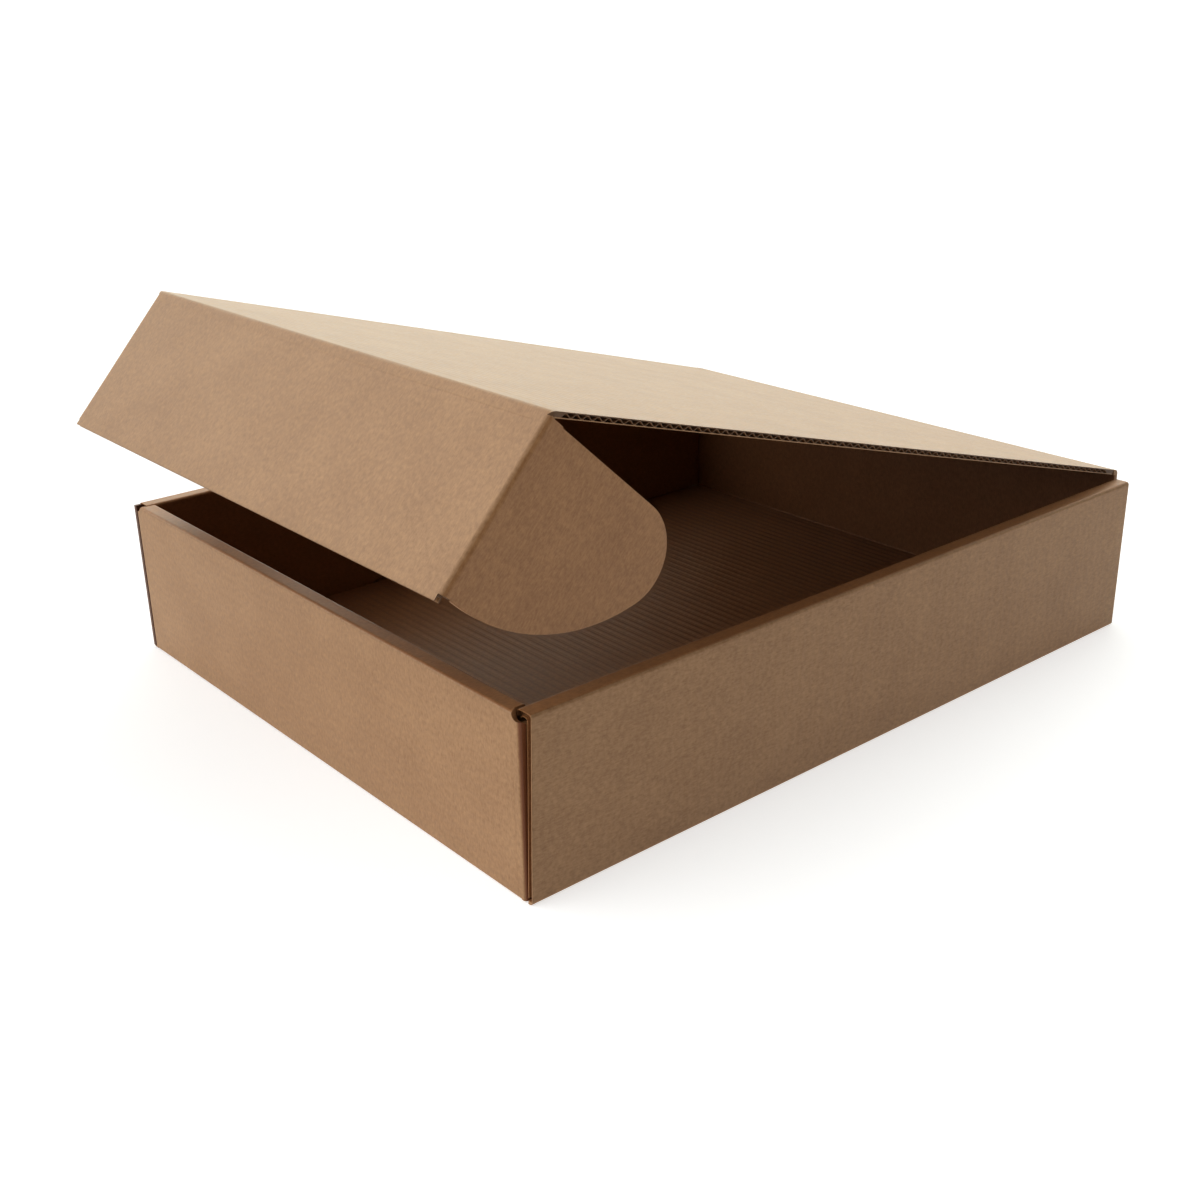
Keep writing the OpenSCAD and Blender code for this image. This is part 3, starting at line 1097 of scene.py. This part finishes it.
@dataclass
class Ear:
    """Round ear at one end of the flap: a liner on each face and the strip round its crease."""

    body: Body
    side: Side
    crease: np.ndarray
    run: np.ndarray
    out: np.ndarray
    line_high: float = 0.0
    half: float = 98.0
    root: float = 47.0
    top: float = 0.65
    foot: float = 0.05
    start: float = 3.0
    # distances that the crease's strip keeps from the lid and from the flap's foot
    strip_gaps: Pair = (0.2, 0.1)
    board: Board = Board()
    ridge: float = 0.012

    def build(self, papers: Papers) -> list[Piece]:
        """Makes the ear's liners and its crease.

        Args:
            papers: Materials by paper.

        Returns:
            The pieces.
        """
        outward = np.eye(3)[0] * self.side.value
        hinge = self.crease + outward * self.half
        skin = hinge + outward * self.board.thick
        faces = {
            "outer": (PanelFrame(skin, self.run, -self.out, outward), self.line_high),
            "inner": (PanelFrame(hinge, self.run, -self.out, -outward), -self.line_high),
        }
        liners = [
            EarLiner(
                f"{self.body.value}_{name}_liner",
                self.body,
                face,
                (self.top, self.root + self.foot),
                (self.start, 0.0),
                self.ridge,
                steps=12,
                columns=60,
                fade=1.5,
                line_high=high,
            ).build(papers[Paper.EAR])
            for name, (face, high) in faces.items()
        ]
        strip = CreaseStrip(
            f"{self.body.value}_crease",
            (Body.FLAP, self.body),
            hinge,
            self.run,
            (self.strip_gaps[0], self.root - self.strip_gaps[1]),
            self.out,
            -outward,
            outward,
            -self.out,
            lift=0.05,
            columns=40,
        )
        return [*liners, strip.build(papers[Paper.FOLD], papers[Paper.EAR])]


@dataclass(frozen=True)
class Sun:
    """Soft light without falloff: direction from the box to it, power, and its width in degrees."""

    name: str
    towards: Triple
    power: float
    spread: float

    def build(self) -> None:
        """Adds the light."""
        data = bpy.data.lights.new(self.name, "SUN")
        data.energy = self.power
        data.angle = math.radians(self.spread)
        light = bpy.data.objects.new(self.name, data)
        back = np.array(self.towards) / np.linalg.norm(self.towards)
        side = np.cross((0.0, 1.0, 0.0), back)
        side = side / np.linalg.norm(side)
        place = np.eye(4)
        place[:3, :3] = np.stack([side, np.cross(back, side), back], 1)
        light.matrix_world = Matrix(place.tolist())
        bpy.context.scene.collection.objects.link(light)


@dataclass
class Studio:
    """White floor lit from below, a white room, two soft suns and the photograph's camera."""

    azimuth: float = 49.993
    elevation: float = 22.572
    roll: float = -1.127
    focal_px: float = 1490.9
    image_px: float = 1200.0
    offset: Triple = (12.47, -11.78, -515.5)
    sensor: float = 36.0
    # nearest and farthest sight in metres
    clip: Pair = (0.01, 60.0)
    floor_half: float = 9000.0
    floor_low: float = 0.05
    floor_thick: float = 5.0
    floor_grid: int = 9
    floor_tone: str = "C0C0C0"
    # the lamps under the floor: X of the strongest, distances from it and power there
    lamps_at: float = 165.0
    lamps_reach: Pair = (30.0, 230.0)
    lamps_power: Pair = (0.66, 0.54)
    lamps_tone: str = "FFFFFF"
    # half sizes of the space under the box, where no lamp shines
    covered: Triple = (104.0, 127.0, 1000.0)
    # the room: brightest side, how far a place is on it, power there, and what the camera adds
    room_side: Triple = (-0.68, 0.73, 0.0)
    room_reach: Pair = (0.1, 0.95)
    room_power: Pair = (0.05, 2.6)
    room_seen: float = 1.2
    room_tone: str = "FAFFF6"
    suns: tuple[Sun, ...] = (
        Sun("key", (-0.5, -0.66, 0.56), 2.4, 74.0),
        Sun("top", (0.1, -0.1, 0.98), 0.76, 130.0),
    )
    gamma: float = 0.82

    def camera(self) -> None:
        """Sets the camera from its azimuth, elevation, roll and the offset of the part's origin."""
        a, e, r = (math.radians(v) for v in (self.azimuth, self.elevation, self.roll))
        right = np.array([math.cos(a), math.sin(a), 0.0])
        back = np.array([math.sin(a) * math.cos(e), -math.cos(a) * math.cos(e), math.sin(e)])
        up = np.cross(back, right)
        across = math.cos(r) * right + math.sin(r) * up
        upward = -math.sin(r) * right + math.cos(r) * up
        turned = np.stack([across, upward, back], 1)
        data = bpy.data.cameras.new("camera")
        data.sensor_width = self.sensor
        data.lens = self.focal_px / self.image_px * self.sensor
        data.clip_start, data.clip_end = self.clip
        camera = bpy.data.objects.new("camera", data)
        place = np.eye(4)
        place[:3, :3] = turned
        place[:3, 3] = -turned @ np.array(self.offset) * MM
        camera.matrix_world = Matrix(place.tolist())
        bpy.context.scene.collection.objects.link(camera)
        bpy.context.scene.camera = camera

    def floor(self) -> None:
        """Makes the floor, a flat grid a hair under the box."""
        share = np.linspace(-self.floor_half, self.floor_half, self.floor_grid)
        x, y = np.meshgrid(share, share, indexing="ij")
        top = np.stack([x, y, np.full_like(x, -self.floor_low)], -1)
        bottom = top - np.array([0.0, 0.0, self.floor_thick])
        floor = closed_sheet("floor", top, bottom, self.acrylic())

    def acrylic(self) -> Material:
        """Matt white acrylic lit from below, whose glow softens the shadows on it.

        Returns:
            The material, lit most right of the box and not at all under it.
        """
        made = bpy.data.materials.new("backlit_white_acrylic")
        made.use_nodes = True
        made.node_tree.nodes.clear()
        add = partial(add_node, made.node_tree)
        place = add("ShaderNodeTexCoord").outputs["Object"]
        parts = add("ShaderNodeSeparateXYZ", {}, {0: place})
        aside = add(
            "ShaderNodeMath",
            {"operation": "SUBTRACT"},
            {0: parts.outputs[0], 1: self.lamps_at * MM},
        )
        far = add("ShaderNodeMath", UNSIGNED, {0: aside.outputs[0]})
        near, end = (value * MM for value in self.lamps_reach)
        lamps = add(
            "ShaderNodeMapRange",
            SMOOTH,
            dict(enumerate((far.outputs[0], near, end, *self.lamps_power))),
        )
        lit = add(
            "ShaderNodeMix",
            {"data_type": "FLOAT"},
            {0: within(add, place, (0.0, 0.0, 0.0), self.covered), 2: lamps.outputs[0], 3: 0.0},
        )
        shader = add(
            "ShaderNodeBsdfPrincipled",
            {},
            {
                "Base Color": linear(self.floor_tone),
                "Roughness": 0.9,
                "Specular IOR Level": 0.1,
                "Emission Color": linear(self.lamps_tone),
                "Emission Strength": lit.outputs[0],
            },
        )
        add("ShaderNodeOutputMaterial", {}, {"Surface": shader.outputs[0]})
        return made

    def room(self) -> None:
        """Makes the room: white to look at, and lit most from behind the box and left of it."""
        world = bpy.data.worlds.new("studio")
        bpy.context.scene.world = world
        world.use_nodes = True
        world.node_tree.nodes.clear()
        add = partial(add_node, world.node_tree)
        here = add("ShaderNodeTexCoord").outputs["Generated"]
        behind = add("ShaderNodeVectorMath", DOT, {0: here, 1: self.room_side})
        power = add(
            "ShaderNodeMapRange",
            SMOOTH,
            dict(enumerate((behind.outputs["Value"], *self.room_reach, *self.room_power))),
        )
        looked_at = add("ShaderNodeLightPath").outputs["Is Camera Ray"]
        seen = add(
            "ShaderNodeMath",
            {"operation": "MULTIPLY_ADD"},
            {0: looked_at, 1: self.room_seen, 2: power.outputs[0]},
        )
        glow = add(
            "ShaderNodeBackground",
            {},
            {"Color": linear(self.room_tone), "Strength": seen.outputs[0]},
        )
        add("ShaderNodeOutputWorld", {}, {"Surface": glow.outputs[0]})

    def build(self) -> None:
        """Sets up camera, floor, room, lights and the view's plain colours."""
        self.camera()
        self.floor()
        self.room()
        for sun in self.suns:
            sun.build()
        bpy.context.scene.view_settings.view_transform = "Standard"
        bpy.context.scene.view_settings.gamma = self.gamma


def main() -> None:
    """Builds the studio and the sub-assemblies in order."""
    logging.basicConfig(level=logging.INFO, format="%(name)s: %(message)s")
    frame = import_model()
    Studio().build()

    joints = {joint["name"]: joint for joint in frame["joints"]}
    hinge = np.array(joints["lid_hinge"]["pos_m"]) / MM
    crease = np.array(joints["flap_fold"]["pos_m"]) / MM
    x = np.eye(3)[0]
    lid_run = (crease - hinge) / np.linalg.norm(crease - hinge)
    flap_run = -np.array(joints["ear_right_fold"]["axis"])
    lid_out, flap_out = np.cross(lid_run, x), np.cross(flap_run, x)

    papers = Finishes(
        lid_tilt=math.degrees(math.atan2(-lid_run[2], -lid_run[1])),
        flap_tilt=math.degrees(math.atan2(-flap_run[2], -flap_run[1])),
        lid_under=float(hinge @ lid_out),
    ).build()
    for body, paper in WRAPS.items():
        node = frame["nodes"][body.value]
        node.data.materials.clear()
        node.data.materials.append(papers[paper])
        LOG.info("dressed %s in %s", body.value, paper.value)

    pieces = [
        *Tray().build(papers),
        *Lid(hinge, crease, lid_run, lid_out).build(papers),
        *Flap(crease, lid_run, lid_out, flap_run, flap_out).build(papers),
        *Ear(Body.EAR_LEFT, Side.LEFT, crease, flap_run, flap_out).build(papers),
        *Ear(Body.EAR_RIGHT, Side.RIGHT, crease, flap_run, flap_out, line_high=0.05).build(papers),
    ]
    for piece in pieces:
        LOG.info("made %s with %d faces", piece.name, len(piece.data.polygons))


if __name__ == "__main__":
    main()
